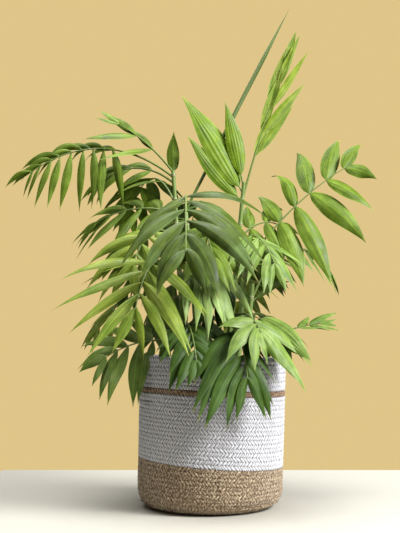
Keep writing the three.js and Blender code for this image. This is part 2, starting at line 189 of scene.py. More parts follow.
# Fronds, as in the part's source. A stalk leaves its cane at a height and rises along an azimuth.
# Its pairs of leaflets start past its bare share. open and close are their angles to the stalk at
# its first and its last pair. A row with no pairs is a young frond with one broad leaf.
FROND_COLUMNS = (
    "name cane height azimuth rise pull length bare pairs "
    "leaf width open close lift sag roll skew uneven colour"
).split()
FROND_ROWS = [
    ("pleated", "centre", 426, 190, 60, 0.05, 10, 1, 0, 150, 40, 0, 0, 0, 0.1, 76, 0, 0, "lime"),
    ("pleated_low", "centre", 412, 192, 55, 0.1, 12, 1, 0, 108, 27, 0, 0, 0, 0.12, 78, 0, 0, "lime"),
    ("pleated_right", "centre", 438, 184, 79, 0.05, 14, 1, 0, 106, 25, 0, 0, 0, 0.1, 84, 0, 0, "lime"),
    ("low_right_leaf", "low", 255, -22, 10, 0.7, 42, 1, 0, 88, 31, 0, 0, 0, 0.5, -66, 0, 0, "fresh"),
    ("left_shoot", "left", 444, 90, 82, 0.1, 14, 1, 0, 58, 18, 0, 0, 0, 0.1, -8, 0, 0, "lime"),
    ("main_front", "middle", 401, -89, 28, 2.0, 190, 0.36, 6, 125, 23, 76, 40, 5, 1.55, -11, 0, -0.2, "deep"),
    ("left_fan", "front", 296, -113, 52, 2.2, 150, 0.36, 6, 122, 17.5, 84, 24, -6, 0.6, 20, 0, 0, "mid"),
    ("right_arch", "centre", 308, 2, 56, 0.5, 220, 0.44, 5, 95, 27, 90, 32, 0, 1.0, -74, 28, 0.3, "olive"),
    ("far_left", "left", 447, 177, 39, 1.2, 217, 0.42, 9, 78, 12, 68, 30, 5, 1.8, 68, -44, -0.25, "olive"),
    ("upright", "centre", 422, 0, 75, 0.3, 194, 0.28, 5, 96, 15, 13, 1, 4, 0.15, 66, -8, -0.15, "mid"),
    ("low_front", "low", 226, -76, 34, 2.6, 112, 0.3, 6, 102, 17.5, 54, 36, -14, 1.5, 12, 0, 0.3, "dark"),
    ("low_right", "low", 246, -54, 40, 1.8, 74, 0.7, 4, 90, 22, 76, 14, 0, 0.8, 0, 24, -0.3, "fresh"),
    # under_front has the pale tone as painted light, since it lies in main_front's shade
    ("under_front", "middle", 326, -70, 24, 1.5, 86, 0.15, 5, 120, 19, 40, 18, -30, 1.9, -10, 4, 0, "pale"),
    # low_left has the fresh tone, brighter than its own colour, partly as painted light where the key light
    # reaches less
    ("low_left", "front", 218, 188, 14, 0.9, 104, 0.2, 6, 84, 19, 92, 26, -10, 0.85, 52, 0, 0, "fresh"),
    ("upper_left", "left", 455, 172, 52, 0.45, 104, 0.4, 3, 74, 14, 32, 12, -4, 0.45, 50, -18, -0.3, "olive"),
    ("back_left", "left", 396, 172, 20, 0.9, 118, 0.2, 5, 92, 19, 62, 20, -4, 0.95, 38, 0, 0, "olive"),
    ("side_left", "left", 356, -128, 42, 2.2, 118, 0.45, 5, 100, 18, 84, 30, 0, 0.95, 18, 0, 0, "mid"),
    ("right_back", "right", 278, 25, 66, 1.5, 180, 0.55, 5, 54, 14, 60, 25, -8, 1, -40, 0, 0, "fresh"),
    ("right_small", "right", 215, 3, 24, 0.25, 104, 0.7, 3, 52, 14, 38, 20, 0, 0.3, -30, -12, 0, "fresh"),
    ("inner_front", "middle", 360, -70, 35, 1.9, 118, 0.2, 6, 92, 19, 70, 28, -10, 1, 0, 0, 0, "olive"),
    ("inner_centre", "centre", 352, -62, 34, 1.9, 112, 0.2, 6, 80, 15, 70, 28, -10, 1, 0, 0, 0, "fresh"),
    ("inner_right", "right", 272, -140, 50, 1.9, 90, 0.3, 5, 62, 16, 65, 28, -8, 0.9, 0, 0, 0, "dark"),
    ("inner_low", "front", 232, -75, 40, 2.2, 112, 0.35, 6, 78, 16, 60, 25, -10, 1, 0, 0, 0, "dark"),
    ("inner_left", "middle", 318, -150, 34, 1.8, 112, 0.3, 4, 84, 17, 60, 25, -8, 1, 0, 0, 0, "dark"),
    ("rear_top", "back", 388, 100, 45, 1.4, 210, 0.25, 6, 92, 19, 65, 28, -10, 1, 0, 0, 0, "dark"),
    ("rear_left", "back", 372, 142, 38, 1.5, 204, 0.25, 6, 92, 19, 65, 28, -10, 1, 0, 0, 0, "olive"),
    ("rear_right", "back", 346, 66, 35, 1.5, 170, 0.25, 5, 92, 19, 65, 28, -10, 1, 0, 0, 0, "dark"),
    ("rear_far_right", "far", 326, 70, 48, 1.5, 140, 0.25, 5, 86, 19, 65, 28, -10, 1, 0, 0, 0, "deep"),
    ("rear_low", "far", 300, 90, 32, 1.7, 170, 0.25, 5, 78, 19, 65, 28, -10, 1.2, 0, 0, 0, "mid"),
    ("rear_low_left", "back", 300, 122, 26, 1.7, 186, 0.25, 5, 84, 19, 65, 28, -10, 1.2, 0, 0, 0, "deep"),
    ("rear_centre", "centre", 360, 10, 54, 1.2, 72, 0.3, 3, 62, 22, 80, 50, 0, 1.0, -66, 20, 0.2, "olive"),
    ("rear_high_left", "left", 410, 118, 52, 1.5, 180, 0.3, 6, 88, 19, 60, 26, -8, 0.9, 0, 0, 0, "olive"),
    ("rear_foot", "back", 238, 98, 42, 1.9, 150, 0.3, 4, 80, 19, 62, 26, -10, 1.1, 0, 0, 0, "dark"),
    ("rear_foot_right", "far", 242, 55, 40, 1.7, 135, 0.3, 4, 80, 19, 62, 26, -10, 1.1, 0, 0, 0, "deep"),
    ("rear_foot_left", "left", 262, 152, 40, 1.6, 160, 0.35, 4, 80, 19, 62, 26, -10, 1.1, 0, 0, 0, "mid"),
    ("centre_leaf", "right", 272, 24, 58, 0.4, 10, 1, 0, 62, 15, 0, 0, 0, 0.6, 50, 0, 0, "deep"),
    ("mid_left", "left", 439, 172, 40, 1.3, 118, 0.3, 4, 64, 14, 30, 12, 6, 1.3, 56, 0, 0, "olive"),
    ("side_right", "far", 314, 38, 60, 1.6, 70, 0.3, 4, 52, 17, 62, 26, -8, 1.0, 0, 0, 0, "olive"),
    ("side_low_left", "left", 318, 160, 44, 1.9, 96, 0.3, 4, 68, 17, 62, 26, -8, 1.0, 0, 0, 0, "deep"),
]
FRONDS = [dict(zip(FROND_COLUMNS, row)) for row in FROND_ROWS]
SEEDS_A_FROND = 100

# Spear: the rolled frond, with the edges of its folds as low ridges that wind up it
SPEAR = {"cane": "middle", "height": 402, "azimuth": 8, "rise": 63.5, "pull": 0.03, "length": 325}
SPEAR_RADIUS = 2.9
SPEAR_FOOT_SHARE = 0.6
SPEAR_TIP_LENGTH = 0.25
SPEAR_TIP_RADIUS = 0.15
SPEAR_STEPS = 60
SPEAR_SIDES = 20
SPEAR_RIDGES = {"count": 5, "height": 0.07, "winding": 9}

# Stalks of the fronds, and the surface and colours that they and the spear have
STALK_STEPS = 26
STALK_SIDES = 8
STALK_RADIUS = {"foot": 1.8, "tip": 0.65}
STALK_SQUEEZE = 0.9
STALK_LOOK = {
    "streaks": (30, 0.12),
    "streak_detail": 3,
    "fleck_noise": (900, 2),
    "fleck_from": 0.66,
    "fleck_share": 0.12,
    "fleck_colour": (0.6, 0.66, 0.3),
    "roughness": 0.5,
    "bump": (0.15, 0.0003),
}
STALK_COLOURS = ((0.21, 0.29, 0.06), (0.1, 0.16, 0.03))
SPEAR_COLOURS = ((0.12, 0.185, 0.028), (0.06, 0.105, 0.014))

# The pairs along a stalk: where the last one sits, where the longest is, how the others shorten
LAST_PAIR_PLACE = 0.97
LONGEST_PAIR = 0.35
SHORTENING = 1.1
SKEW_TURN = 1.33
STALK_END = 0.985

# How much leaflets differ: angles in degrees, the rest as shares
SPREAD = {"open": 8, "lift": 8, "place": 0.018, "length": 0.1, "width": 0.12, "sag": 0.35}

# Outline of a leaflet
LEAF_STEPS = 16
LEAF_THICK = 0.55
LEAF_ROOT_WIDTH = 1.8
LEAF_TIP_WIDTH = 0.3
LEAF_SKEW = 0.76
LEAF_FULLNESS = {"narrow": 1.75, "per_ratio": 4.0, "least": 0.6}
LEAF_TAPER = 1.2
LEAF_REST_CLEAR = 3.4

# Relief of a leaflet: twist and pitch in degrees, the rest as shares of its half width
LEAF_PITCH = 18
LEAF_BOW = 0.03
NARROW_LEAF = {"columns": 8, "twist": 34, "fold": 0.34, "wave": 0.05, "pleats": 2, "depth": 0.035}
BROAD_LEAF = {"columns": 40, "twist": 6, "fold": 0.3, "wave": 0.02, "pleats": 3, "depth": 0.018}
LEAF_RELIEF = {
    "pitch_fade": 0.6,
    "fold_spread": 0.4,
    "fold_fade": 0.5,
    "fold_power": 1.6,
    "waves": 1.6,
    "wave_lag": 2.1,
    "tip_thick": 0.25,
    "thinning": 3,
}
LEAF_SEEDS = {"twist": 0.71, "fold": 0.73, "wave": 0.77, "phase": 0.79, "bow": 0.83}

# A leaf's flat place: its number and the way across it in one, and the way along it
LEAF_MARGIN = 0.02
LEAF_KINDS = 61

# Leaf surface, and for each tone the colour of its light parts, its shaded parts and its painted sheen, a
# paler bluish highlight laid on in patches
LEAF_LOOK = {
    "own_share": 0.5,
    "mottle_noise": (60, 3),
    "mottle_range": (0.38, 0.62),
    "mottle_share": 0.5,
    "mottle_height": 0.6,
    # Patches of painted sheen, where the colour goes towards the tone's painted highlight
    "sheen_noise": (38, 2),
    "sheen_range": (0.48, 0.64),
    "cloud_share": 0.5,
    # Streaks bump the surface and darken the colour, partly as painted shade in the pleats and partly as the
    # veins' own colour
    "streaks": (7.0, 2.5),
    "streak_detail": 2,
    "streak_range": (0.35, 0.65),
    "streak_share": 0.6,
    "streak_tone": 0.5,
    "rib_width": 0.03,
    "margin_from": 0.455,
    "line_share": 0.3,
    "line_tone": 1.5,
    "dry_from": 0.9,
    "dry_rise": 6.0,
    "dry_most": 0.5,
    "dry_colour": (0.45, 0.4, 0.12),
    "roughness": 0.42,
    "mottle_roughness": 0.18,
    "specular": 0.2,
    "bump": (0.15, 0.0004),
}
LEAF_TONES = {
    "dark": ((0.072, 0.143, 0.012), (0.027, 0.063, 0.005), (0.1, 0.185, 0.045)),
    "deep": ((0.108, 0.16, 0.012), (0.042, 0.076, 0.006), (0.145, 0.225, 0.07)),
    "mid": ((0.32, 0.41, 0.04), (0.14, 0.23, 0.02), (0.42, 0.5, 0.1)),
    "olive": ((0.175, 0.27, 0.013), (0.073, 0.127, 0.008), (0.23, 0.335, 0.045)),
    "fresh": ((0.24, 0.35, 0.06), (0.1, 0.185, 0.025), (0.35, 0.46, 0.16)),
    # pale is brighter than a leaf's own colour: painted light for under_front, which lies in main_front's
    # shade
    "pale": ((0.44, 0.61, 0.17), (0.23, 0.36, 0.08), (0.54, 0.68, 0.31)),
    "lime": ((0.19, 0.3, 0.011), (0.095, 0.17, 0.006), (0.27, 0.39, 0.03)),
}

# Lines and directions


def unit(vector):
    return vector / np.linalg.norm(vector)


def heading(azimuth, elevation):
    flat = math.cos(math.radians(elevation))
    turn = math.radians(azimuth)
    return np.array([math.cos(turn) * flat, math.sin(turn) * flat, math.sin(math.radians(elevation))])


def vary(seed):
    """A repeatable number from -1 to 1 for each seed."""
    wave = math.sin(seed * HASH_SEED) * HASH_SWELL
    return 2 * (wave - math.floor(wave)) - 1


def variations(seed):
    """One such number for each way in which the leaflet of this seed differs."""
    return {name: SPREAD[name] * vary(seed + (k + 1) / 10) for k, name in enumerate(SPREAD)}


def grow(start, direction, pull, length, steps, settle=None):
    """A line that starts in one direction and is bent down ever more by its weight."""
    points = [np.array(start, float)]
    for k in range(steps):
        way = unit(direction - UP * (pull * (k + 0.5) / steps))
        point = points[-1] + way * (length / steps)
        points.append(settle(point) if settle else point)
    return np.array(points)


def point_at(points, share):
    place = min(share, 1) * (len(points) - 1)
    k = min(int(place), len(points) - 2)
    return points[k] + (points[k + 1] - points[k]) * (place - k)


def way_at(points, share):
    step = 0.5 / (len(points) - 1)
    return unit(point_at(points, share + step) - point_at(points, max(share - step, 0)))


def ways_along(points):
    """The direction of a line at each of its points."""
    ways = np.gradient(points, axis=0)
    return ways / np.linalg.norm(ways, axis=1)[:, None]


def turned(side, over, angle):
    """Two directions square to each other, turned together."""
    return side * math.cos(angle) + over * math.sin(angle), over * math.cos(angle) - side * math.sin(angle)


def side_and_over(across, way):
    """The directions beside and above a line, of which the first is nearest to across."""
    side = unit(across - way * np.dot(across, way))
    return side, np.cross(side, way)


def side_and_up(way, roll):
    """The directions beside and above a line, rolled about it from upright."""
    side = unit(np.cross(way, UP))
    return turned(side, np.cross(side, way), math.radians(roll))


# Shapes


class Shape:
    """Points and faces gathered for one piece, with a flat place for each corner."""

    def __init__(self):
        self.points = []
        self.corners = []
        self.sizes = []
        self.places = []
        self.count = 0

    def add(self, points, faces, places):
        """faces holds indices into points, and places a flat place for each corner of each face."""
        points = np.asarray(points, float).reshape(-1, 3)
        self.points.append(points)
        self.count += len(points)
        self.more(faces, places)

    def more(self, faces, places):
        """Further faces on the points that were added last."""
        faces = np.asarray(faces, int)
        first = self.count - len(self.points[-1])
        self.corners.append(faces.ravel() + first)
        self.sizes.append(np.full(len(faces), faces.shape[1]))
        self.places.append(np.asarray(places, float).reshape(-1, 2))

    def build(self, name, material):
        points = np.concatenate(self.points) * MM
        corners = np.concatenate(self.corners)
        sizes = np.concatenate(self.sizes)
        mesh = bpy.data.meshes.new(name)
        mesh.vertices.add(len(points))
        mesh.vertices.foreach_set("co", points.astype(np.float32).ravel())
        mesh.loops.add(len(corners))
        mesh.loops.foreach_set("vertex_index", corners.astype(np.int32))
        mesh.polygons.add(len(sizes))
        starts = np.concatenate([[0], np.cumsum(sizes)[:-1]])
        mesh.polygons.foreach_set("loop_start", starts.astype(np.int32))
        mesh.update(calc_edges=True)
        mesh.validate()
        layer = mesh.uv_layers.new(name=UV_NAME)
        layer.data.foreach_set("uv", np.concatenate(self.places).astype(np.float32).ravel())
        mesh.shade_smooth()
        mesh.set_sharp_from_angle(angle=math.radians(SHARP_ANGLE))
        mesh.materials.append(material)
        piece = bpy.data.objects.new(name, mesh)
        bpy.context.scene.collection.objects.link(piece)
        return piece


def fit(piece, slot, *replaced):
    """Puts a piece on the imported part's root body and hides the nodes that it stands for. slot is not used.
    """
    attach(piece, "root")
    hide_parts(*replaced)


def grid(rows, columns, wrap=False):
    """Faces of a grid of points, and each corner's row and column. wrap joins its sides."""
    across = columns if wrap else columns - 1
    i, j = np.meshgrid(np.arange(rows - 1), np.arange(across), indexing="ij")
    row = np.stack([i, i, i + 1, i + 1], -1).reshape(-1, 4)
    column = np.stack([j, j + 1, j + 1, j], -1).reshape(-1, 4)
    return row * columns + column % columns, row, column


def close_rings(shape, rings, around):
    """Faces from the last ring of points back to the first."""
    here = np.arange(around)
    after = (here + 1) % around
    last = (rings - 1) * around
    faces = np.stack([last + here, last + after, after, here], -1)
    shape.more(faces, np.zeros((4 * around, 2)))


def tube(shape, points, radii, sides, across, squeeze=1.0, ridges=None):
    """A closed round body along a line. Its corners' places run round it and along it in mm."""
    turn = np.linspace(0, 2 * math.pi, sides, endpoint=False)
    rings = []
    for k, way in enumerate(ways_along(points)):
        side, over = side_and_over(across, way)
        radius = radii[k] * (ridges(turn, k / (len(points) - 1)) if ridges else 1)
        ring = np.outer(np.cos(turn) * radius, side) + np.outer(np.sin(turn) * radius * squeeze, over)
        rings.append(points[k] + ring)
    along = np.concatenate([[0], np.cumsum(np.linalg.norm(np.diff(points, axis=0), axis=1))])
    faces, row, column = grid(len(points), sides, wrap=True)
    places = np.stack([column / sides, along[row]], -1)
    shape.add(np.concatenate([*rings, points[[0, -1]]]), faces[:, ::-1], places[:, ::-1])
    close_ends(shape, len(points), sides, along[-1])


def close_ends(shape, rings, sides, length):
    """Fans of faces from the two points after a tube's rings to its first and last ring."""
    first = rings * sides
    last = first - sides
    ring = np.arange(sides)
    after = (ring + 1) % sides
    start = np.stack([np.full(sides, first), after, ring], -1)
    end = np.stack([np.full(sides, first + 1), last + ring, last + after], -1)
    places = np.zeros((3 * sides, 2))
    shape.more(start[:, ::-1], places)
    shape.more(end[:, ::-1], places + [0, length])


# Leaflets


def leaf_half_width(share, width, length):
    """Half the width along a leaflet. A broader one has a fuller foot, and the tip is long drawn out."""
    fullness = LEAF_FULLNESS["narrow"] - LEAF_FULLNESS["per_ratio"] * width / length
    fullness = max(fullness, LEAF_FULLNESS["least"])
    swell = np.sin(math.pi * np.clip(share, 0, 1) ** LEAF_SKEW)
    swell = np.maximum(swell, 0)
    past = share > 0.5 ** (1 / LEAF_SKEW)
    swell = np.where(past, swell**LEAF_TAPER, swell**fullness)
    root = LEAF_ROOT_WIDTH * (1 - share)
    return np.maximum(np.maximum(width * swell, root), LEAF_TIP_WIDTH) / 2


def leaf_height(leaf, own, share, across):
    """How high a leaflet's surface lies along one line across it: folded, pleated and waved."""
    relief = LEAF_RELIEF
    bend = np.abs(across)
    fold = leaf["fold"] * (1 + relief["fold_spread"] * own["fold"])
    wave = leaf["wave"] * (1 + own["wave"])
    turn = 2 * math.pi * relief["waves"] * share + own["phase"] * math.pi
    height = -fold * (1 - relief["fold_fade"] * share) * bend ** relief["fold_power"]
    height += leaf["depth"] * np.cos(2 * math.pi * leaf["pleats"] * across) * (1 - across**2)
    height += wave * np.sin(turn + (across > 0) * relief["wave_lag"]) * bend**2
    return height


def leaf_surfaces(leaf, seed):
    """A leaflet's upper and lower surface, each as rows of points from its root to its tip."""
    relief = LEAF_RELIEF
    own = {name: vary(seed + offset) for name, offset in LEAF_SEEDS.items()}
    points = grow(leaf["root"], leaf["way"], leaf["sag"], leaf["length"], LEAF_STEPS, beside_basket)
    shares = np.linspace(0, 1, LEAF_STEPS + 1)
    halves = leaf_half_width(shares, leaf["width"], leaf["length"])
    bows = LEAF_BOW * leaf["length"] * own["bow"] * np.sin(math.pi * shares)
    across = np.linspace(-1, 1, leaf["columns"] + 1)
    pitch = math.radians(leaf["pitch"])
    twist = math.radians(leaf["twist"]) * own["twist"]
    tops, unders = [], []
    for point, way, share, half, bow in zip(points, ways_along(points), shares, halves, bows):
        side, over = side_and_over(leaf["side"], way)
        side, over = turned(side, over, pitch * (1 - relief["pitch_fade"] * share) + twist * share)
        height = leaf_height(leaf, own, share, across) * half
        edge = min(1, relief["tip_thick"] + relief["thinning"] * (1 - share))
        thick = LEAF_THICK * (1 - across**2) * edge / 2
        middle = point + np.outer(across * half + bow, side) + np.outer(height, over)
        tops.append(middle + np.outer(thick, over))
        unders.append(middle - np.outer(thick, over))
    return np.array(tops), np.array(unders)


def blade(shape, leaf, seed):
    """A thin closed leaflet whose two surfaces share their border."""
    tops, unders = leaf_surfaces(leaf, seed)
    rows, columns = tops.shape[:2]
    inner = unders[1:-1, 1:-1].reshape(-1, 3)
    under_index = np.arange(rows * columns).reshape(rows, columns)
    under_index[1:-1, 1:-1] = rows * columns + np.arange(len(inner)).reshape(rows - 2, columns - 2)
    faces, row, column = grid(rows, columns)
    spread = LEAF_MARGIN + (1 - 2 * LEAF_MARGIN) * column / (columns - 1)
    places = np.stack([spread + seed % LEAF_KINDS, row / (rows - 1)], -1)
    shape.add(np.concatenate([tops.reshape(-1, 3), inner]), faces, places)
    shape.more(under_index.ravel()[faces][:, ::-1], places[:, ::-1])


# Basket


def lean_at(height):
    return BASKET["lean"] * height / BASKET["height"]


def beside_basket(point):
    """Keeps a leaflet's point off the basket's wall and the mix."""
    reach = math.hypot(point[0] - lean_at(point[2]), point[1])
    inside = BASKET["foot_radius"] - BASKET["wall"] - LEAF_REST_CLEAR
    outside = BASKET["rim_radius"] + LEAF_REST_CLEAR
    if point[2] > BASKET["height"] + LEAF_REST_CLEAR or reach > outside:
        return point
    if reach < inside:
        return np.array([point[0], point[1], max(point[2], MIX_TOP + LEAF_REST_CLEAR)])
    out = outside / reach
    lean = lean_at(point[2])
    return np.array([(point[0] - lean) * out + lean, point[1] * out, point[2]])


def wall_radius(height):
    """The basket's outer radius, which widens a little from its foot to its rim."""
    share = height / BASKET["height"]
    return BASKET["foot_radius"] + (BASKET["rim_radius"] - BASKET["foot_radius"]) * share


def foot_profile(arc_length):
    """Place on the basket's outside and the way out there, by the length from the foot's flat edge."""
    round_radius = BASKET["foot_round"]
    quarter = round_radius * math.pi / 2
    if arc_length < quarter:
        angle = arc_length / round_radius
        out = np.array([math.sin(angle), -math.cos(angle)])
        centre = np.array([wall_radius(round_radius) - round_radius, round_radius])
        return centre + out * round_radius, out
    height = round_radius + arc_length - quarter
    return np.array([wall_radius(height), height]), np.array([1.0, 0.0])


def wall_rows(low, high):
    """Samples of place, way out and row up the basket's outside, in whole rows of rope."""
    quarter = BASKET["foot_round"] * math.pi / 2
    start = 0 if low == 0 else low - BASKET["foot_round"] + quarter
    end = high - BASKET["foot_round"] + quarter
    rows = max(1, round((end - start) / ROPE_PITCH))
    return [
        (*foot_profile(start + (end - start) * k / (rows * ROPE_STEPS)), k / ROPE_STEPS)
        for k in range(rows * ROPE_STEPS + 1)
    ]


def line_rows(start, end, out, steps):
    """Such samples along a straight stretch, with a number of steps to each row of rope."""
    start, end = np.array(start, float), np.array(end, float)
    rows = max(1, round(np.linalg.norm(end - start) / ROPE_PITCH))
    return [
        (start + (end - start) * k / (rows * steps), np.array(out, float), k / steps)
        for k in range(rows * steps + 1)
    ]


def base_profile(inner):
    """The jute base: under the basket, up its foot, down inside, and a plain middle."""
    foot = wall_radius(BASKET["foot_round"]) - BASKET["foot_round"]
    top = BAND_EDGES["jute"] - BAND_GAP
    under = line_rows((AXIS_HOLE, 0), (foot, 0), (0, -1), UNDER_STEPS)[:-1]
    inside = line_rows((inner, top), (inner, BASKET["floor"]), (-1, 0), HIDDEN_STEPS)
    middle = (np.array([AXIS_HOLE, BASKET["floor"]]), np.zeros(2), 0.0)
    return under + wall_rows(0, top) + inside + [middle]


def band_profile(inner, low, high):
    """A band of the wall, whose inside lies behind the mix."""
    return wall_rows(low, high) + line_rows((inner, high), (inner, low), (-1, 0), HIDDEN_STEPS)


def rim_profile(inner, low):
    """The topmost band, with full rows on its top and inside as well."""
    edge = BASKET["height"] - RIM_EDGE
    top = BASKET["height"] - RIM_DROP
    outer = wall_radius(BASKET["height"]) - RIM_INSET
    over = line_rows((outer, top), (inner + RIM_INSET, top), (0, 1), ROPE_STEPS)
    return wall_rows(low, edge) + over + line_rows((inner, edge), (inner, low), (-1, 0), ROPE_STEPS)


def scatter(row, strand):
    """A repeatable number from -1 to 1 for each strand of each row."""
    wave = np.sin(row * HASH_SEED + (strand % STRANDS) * HASH_STRAND) * HASH_SWELL
    return 2 * (wave - np.floor(wave)) - 1


def rope_relief(row, strand):
    """How far the rope's surface lies below its crest. row counts rows and strand counts strands."""
    across = 2 * (row - np.floor(row)) - 1
    lean_way = 1 - 2 * (np.floor(row) % 2)
    groove = 1 - np.sqrt(np.maximum(1 - ROPE_ROUNDNESS * across**2, 0))
    phase = strand + STRAND_SLANT * across * lean_way
    turn = 2 * math.pi * STRAND_WAVES / STRANDS * phase + ROW_PHASE * np.floor(row)
    phase = phase + STRAND_WANDER * np.sin(turn)
    from_strand = 2 * np.abs(phase - np.round(phase))
    parting = np.clip((from_strand - PARTING["from"]) / (1 - PARTING["from"]), 0, 1) ** PARTING["power"]
    depth = PARTING["on_crest"] + (1 - PARTING["on_crest"]) * np.abs(across)
    own = scatter(np.floor(row), np.round(phase))
    return ROPE_DEPTH * groove + STRAND_DEPTH * parting * depth + STRAND_SPREAD * (1 + own) / 2


def rope_band(name, profile, material, slot, node):
    """A closed ring of rope rows, swept round the basket's axis from a closed profile."""
    spots, outs, rows = (np.array(values) for values in zip(*profile))
    turn = np.linspace(0, 2 * math.pi, ROPE_AROUND, endpoint=False)
    strand = turn / (2 * math.pi) * STRANDS
    relief = rope_relief(rows[:, None], strand[None, :])
    radius = np.maximum(spots[:, :1] - relief * outs[:, :1], 0)
    height = spots[:, 1:] - relief * outs[:, 1:]
    slope = np.interp(spots[:, 1], ROW_TILT["height"], ROW_TILT["slope"])
    x = radius * np.cos(turn)
    z = height + slope[:, None] * x
    points = np.stack([x + lean_at(z), radius * np.sin(turn), z], -1)
    faces, row, column = grid(len(profile), ROPE_AROUND, wrap=True)
    shape = Shape()
    shape.add(points, faces, np.stack([column * STRANDS / ROPE_AROUND, rows[row]], -1))
    close_rings(shape, len(profile), ROPE_AROUND)
    fit(shape.build(name, material), slot, node)


# Materials


class Nodes:
    """The nodes of one material or of the world. Most calls add a node and return its output.

    A value is a number, a colour as a tuple, or another node's output.
    """

    def __init__(self, tree):
        self.tree = tree

    def new(self, kind):
        return self.tree.nodes.new(f"ShaderNode{kind}")

    def put(self, socket, value):
        if isinstance(value, tuple):
            socket.default_value = (*value, 1.0)
        elif isinstance(value, (int, float)):
            socket.default_value = value
        else:
            self.tree.links.new(value, socket)

    def math(self, operation, *values, clamp=False):
        node = self.new("Math")
        node.operation = operation
        node.use_clamp = clamp
        for socket, value in zip(node.inputs, values):
            self.put(socket, value)
        return node.outputs[0]

    def plus(self, first, second, clamp=False):
        return self.math("ADD", first, second, clamp=clamp)

    def minus(self, first, second, clamp=False):
        return self.math("SUBTRACT", first, second, clamp=clamp)

    def times(self, first, second):
        return self.math("MULTIPLY", first, second)

    def mix(self, factor, first, second):
        """A colour between two others."""
        node = self.new("Mix")
        node.data_type = "RGBA"
        factor_socket, first_socket, second_socket = (node.inputs[k] for k in (0, 6, 7))
        self.put(factor_socket, factor)
        self.put(first_socket, first)
        self.put(second_socket, second)
        return node.outputs[2]

    def noise(self, scale, detail, where=None):
        node = self.new("TexNoise")
        node.inputs["Scale"].default_value = scale
        node.inputs["Detail"].default_value = detail
        if where is None:
            where = self.new("TexCoord").outputs["Object"]
        self.put(node.inputs["Vector"], where)
        return node.outputs["Fac"]

    def long_noise(self, where, scales, detail):
        """Noise drawn out along a stalk, with a scale for the way round it and one along it."""
        stretch = self.new("Mapping")
        stretch.inputs["Scale"].default_value = (*scales, 1)
        self.put(stretch.inputs["Vector"], where)
        return self.noise(1.0, detail, stretch.outputs[0])

    def stretched(self, value, limits):
        """The value's range between two limits, drawn out to 0 to 1."""
        node = self.new("MapRange")
        node.inputs["From Min"].default_value, node.inputs["From Max"].default_value = limits
        self.put(node.inputs["Value"], value)
        return node.outputs["Result"]

    def bump(self, height, strength_and_distance):
        node = self.new("Bump")
        strength, distance = strength_and_distance
        node.inputs["Strength"].default_value = strength
        node.inputs["Distance"].default_value = distance
        self.put(node.inputs["Height"], height)
        return node.outputs["Normal"]

    def place(self):
        """The corner's flat place, whole and then apart as its two numbers."""
        place = self.new("UVMap")
        place.uv_map = UV_NAME
        split = self.new("SeparateXYZ")
        self.put(split.inputs[0], place.outputs["UV"])
        return place.outputs["UV"], split.outputs["X"], split.outputs["Y"]


def new_material(name):
    """A material with its nodes and its shader."""
    material = bpy.data.materials.new(name)
    material.use_nodes = True
    tree = material.node_tree
    return material, Nodes(tree), tree.nodes["Principled BSDF"]


def leaf_own_shade(nodes, spread):
    """A number by chance for each leaf, from 0 to 1."""
    chance = nodes.new("TexWhiteNoise")
    chance.noise_dimensions = "1D"
    nodes.put(chance.inputs["W"], nodes.math("FLOOR", spread))
    return chance.outputs["Value"]


def leaf_streak(nodes, spread, along):
    """Streaks of uneven depth along a leaf, in line with its veins, from 0 to 1. Where they darken the
    colour, they are partly painted shade of the pleats.
    """
    look = LEAF_LOOK
    across_scale, along_scale = look["streaks"]
    place = nodes.new("CombineXYZ")
    nodes.put(place.inputs["X"], nodes.times(spread, across_scale))
    nodes.put(place.inputs["Y"], nodes.times(along, along_scale))
    streak = nodes.noise(1.0, look["streak_detail"], place.outputs[0])
    return nodes.stretched(streak, look["streak_range"])


def leaf_lines(nodes, spread):
    """How much the paler midrib and margin show."""
    from_rib = nodes.math("ABSOLUTE", nodes.minus(nodes.math("FRACT", spread), 0.5))
    rib = nodes.math("LESS_THAN", from_rib, LEAF_LOOK["rib_width"])
    margin = nodes.math("GREATER_THAN", from_rib, LEAF_LOOK["margin_from"])
    return nodes.times(nodes.plus(rib, margin), LEAF_LOOK["line_share"])


def leaf_dryness(nodes, along):
    """How dry a leaf is, which is only near its tip."""
    past = nodes.minus(along, LEAF_LOOK["dry_from"], clamp=True)
    return nodes.math("MINIMUM", nodes.times(past, LEAF_LOOK["dry_rise"]), LEAF_LOOK["dry_most"])


def leaf_material(name, light, shaded, painted_sheen):
    """Satin leaf, each of its own shade, with streaks that partly paint shade, a paler rib and margin, and
    patches of painted sheen.
    """
    look = LEAF_LOOK
    material, nodes, shader = new_material(name)
    _, spread, along = nodes.place()
    streak = leaf_streak(nodes, spread, along)
    mottle = nodes.stretched(nodes.noise(*look["mottle_noise"]), look["mottle_range"])
    sheen_patches = nodes.stretched(nodes.noise(*look["sheen_noise"]), look["sheen_range"])
    own = nodes.times(leaf_own_shade(nodes, spread), look["own_share"])
    colour = nodes.mix(nodes.plus(own, nodes.times(mottle, look["mottle_share"])), shaded, light)
    # Painted sheen: patches of a paler, bluish highlight
    colour = nodes.mix(nodes.times(sheen_patches, look["cloud_share"]), colour, painted_sheen)
    # Streaks that darken the colour: painted shade of the pleats, as well as the veins' own colour
    streak_shade = tuple(look["streak_tone"] * part for part in shaded)
    colour = nodes.mix(nodes.times(streak, look["streak_share"]), colour, streak_shade)
    paler = tuple(min(1, look["line_tone"] * part) for part in light)
    colour = nodes.mix(leaf_lines(nodes, spread), colour, paler)
    colour = nodes.mix(leaf_dryness(nodes, along), colour, look["dry_colour"])
    rough = nodes.math("MULTIPLY_ADD", mottle, look["mottle_roughness"], look["roughness"])
    height = nodes.plus(streak, nodes.times(mottle, look["mottle_height"]))
    nodes.put(shader.inputs["Base Color"], colour)
    nodes.put(shader.inputs["Roughness"], rough)
    nodes.put(shader.inputs["Normal"], nodes.bump(height, look["bump"]))
    shader.inputs["Specular IOR Level"].default_value = look["specular"]
    return material


